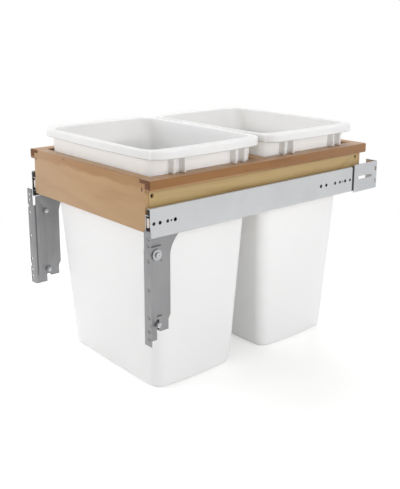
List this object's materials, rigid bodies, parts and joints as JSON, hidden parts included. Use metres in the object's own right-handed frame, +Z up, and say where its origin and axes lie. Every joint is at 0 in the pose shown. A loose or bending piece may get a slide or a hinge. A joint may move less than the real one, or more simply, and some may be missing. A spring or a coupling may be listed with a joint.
{
  "type": "pull-out trash cabinet insert",
  "caption": "Wooden pull-out frame on full-extension steel slides, with lift-out white waste bins, front door brackets and rear mounting brackets.",
  "frame": {"origin": "midway across the unit, at the slides' front ends and at the height of their centre line", "axes": "+X to the unit's right as seen from its front, +Y from its front to its back, +Z up"},
  "size_m": [0.357, 0.5325, 0.3905],
  "materials": {
    "panel_wood": "clear-finished maple-like hardwood, pinkish tan, satin",
    "rail_wood": "clear-finished hardwood, yellow-tan, satin",
    "cap_wood": "reddish-brown hardwood moulding, satin",
    "slide_steel": "zinc-plated rolled steel, smooth",
    "bracket_steel": "grey zinc-plated pressed steel, satin",
    "fastener": "zinc-plated steel",
    "ball_cage": "thin steel strip with steel balls",
    "bin_plastic": "white moulded plastic, low gloss",
    "bumper_plastic": "cream soft plastic",
    "lever_plastic": "black plastic"
  },
  "bodies": {
    "cabinet_side": {"left_cabinet_member": "slide_steel", "left_rear_bracket_screw": "fastener", "right_cabinet_member": "slide_steel", "right_rear_bracket_screw": "fastener"},
    "carriage": {"divider": "panel_wood", "front_panel": "panel_wood", "left_bracket_arm": "bracket_steel", "left_cap_moulding": "cap_wood", "left_drawer_member": "slide_steel", "left_front_bumper": "bumper_plastic", "left_lever_pin": "fastener", "left_lower_bracket_screw": "fastener", "left_lower_nut": "fastener", "left_lower_washer": "fastener", "left_rail_screw_front": "fastener", "left_rail_screw_rear": "fastener", "left_side_rail": "rail_wood", "left_slide_screw_front": "fastener", "left_slide_screw_middle": "fastener", "left_slide_screw_rear": "fastener", "left_upper_bracket_screw": "fastener", "left_upper_nut": "fastener", "left_upper_washer": "fastener", "rear_panel": "panel_wood", "right_bracket_arm": "bracket_steel", "right_cap_moulding": "cap_wood", "right_drawer_member": "slide_steel", "right_front_bumper": "bumper_plastic", "right_lever_pin": "fastener", "right_lower_bracket_screw": "fastener", "right_lower_nut": "fastener", "right_lower_washer": "fastener", "right_rail_screw_front": "fastener", "right_rail_screw_rear": "fastener", "right_side_rail": "rail_wood", "right_slide_screw_front": "fastener", "right_slide_screw_middle": "fastener", "right_slide_screw_rear": "fastener", "right_upper_bracket_screw": "fastener", "right_upper_nut": "fastener", "right_upper_washer": "fastener"},
    "intermediate_members": {"left_intermediate_member": "slide_steel", "right_intermediate_member": "slide_steel"},
    "outer_cages": {"left_outer_ball_cage": "ball_cage", "right_outer_ball_cage": "ball_cage"},
    "inner_cages": {"left_inner_ball_cage": "ball_cage", "right_inner_ball_cage": "ball_cage"},
    "front_bin": {"front_bin": "bin_plastic"},
    "rear_bin": {"rear_bin": "bin_plastic"},
    "left_lever": {"left_release_lever": "lever_plastic"},
    "right_lever": {"right_release_lever": "lever_plastic"},
    "left_door_angle": {"left_door_angle": "bracket_steel"},
    "right_door_angle": {"right_door_angle": "bracket_steel"},
    "left_rear_bracket": {"left_rear_bracket": "slide_steel"},
    "right_rear_bracket": {"right_rear_bracket": "slide_steel"}
  },
  "joints": [
    {"name": "pull_out", "type": "slide", "parent": "cabinet_side", "child": "carriage", "axis": [0, -1, 0], "range_m": [0, 0.457]},
    {"name": "intermediate_travel", "type": "slide", "parent": "cabinet_side", "child": "intermediate_members", "axis": [0, -1, 0], "range_m": [0, 0.2285]},
    {"name": "outer_cage_travel", "type": "slide", "parent": "cabinet_side", "child": "outer_cages", "axis": [0, -1, 0], "range_m": [0, 0.11425]},
    {"name": "inner_cage_travel", "type": "slide", "parent": "cabinet_side", "child": "inner_cages", "axis": [0, -1, 0], "range_m": [0, 0.34275]},
    {"name": "front_bin_lift", "type": "slide", "parent": "carriage", "child": "front_bin", "axis": [0, 0, 1], "range_m": [0, 0.42]},
    {"name": "rear_bin_lift", "type": "slide", "parent": "carriage", "child": "rear_bin", "axis": [0, 0, 1], "range_m": [0, 0.42]},
    {"name": "left_lever_turn", "type": "hinge", "parent": "carriage", "child": "left_lever", "pos_m": [-0.1639, 0.236, 0], "axis": [1, 0, 0], "range_deg": [0, 6], "stiffness_Nm_per_rad": 0.05, "springref_deg": -11.46},
    {"name": "right_lever_turn", "type": "hinge", "parent": "carriage", "child": "right_lever", "pos_m": [0.1639, 0.236, 0], "axis": [1, 0, 0], "range_deg": [0, 6], "stiffness_Nm_per_rad": 0.05, "springref_deg": -11.46},
    {"name": "left_door_height", "type": "slide", "parent": "carriage", "child": "left_door_angle", "axis": [0, 0, 1], "range_m": [-0.006, 0.006]},
    {"name": "right_door_height", "type": "slide", "parent": "carriage", "child": "right_door_angle", "axis": [0, 0, 1], "range_m": [-0.006, 0.006]},
    {"name": "left_bracket_reach", "type": "slide", "parent": "cabinet_side", "child": "left_rear_bracket", "axis": [0, 1, 0], "range_m": [0, 0.02]},
    {"name": "right_bracket_reach", "type": "slide", "parent": "cabinet_side", "child": "right_rear_bracket", "axis": [0, 1, 0], "range_m": [0, 0.02]}
  ],
  "couplings": [
    {"joint": "intermediate_travel", "follows": "pull_out", "ratio": 0.5},
    {"joint": "outer_cage_travel", "follows": "pull_out", "ratio": 0.25},
    {"joint": "inner_cage_travel", "follows": "pull_out", "ratio": 0.75}
  ]
}
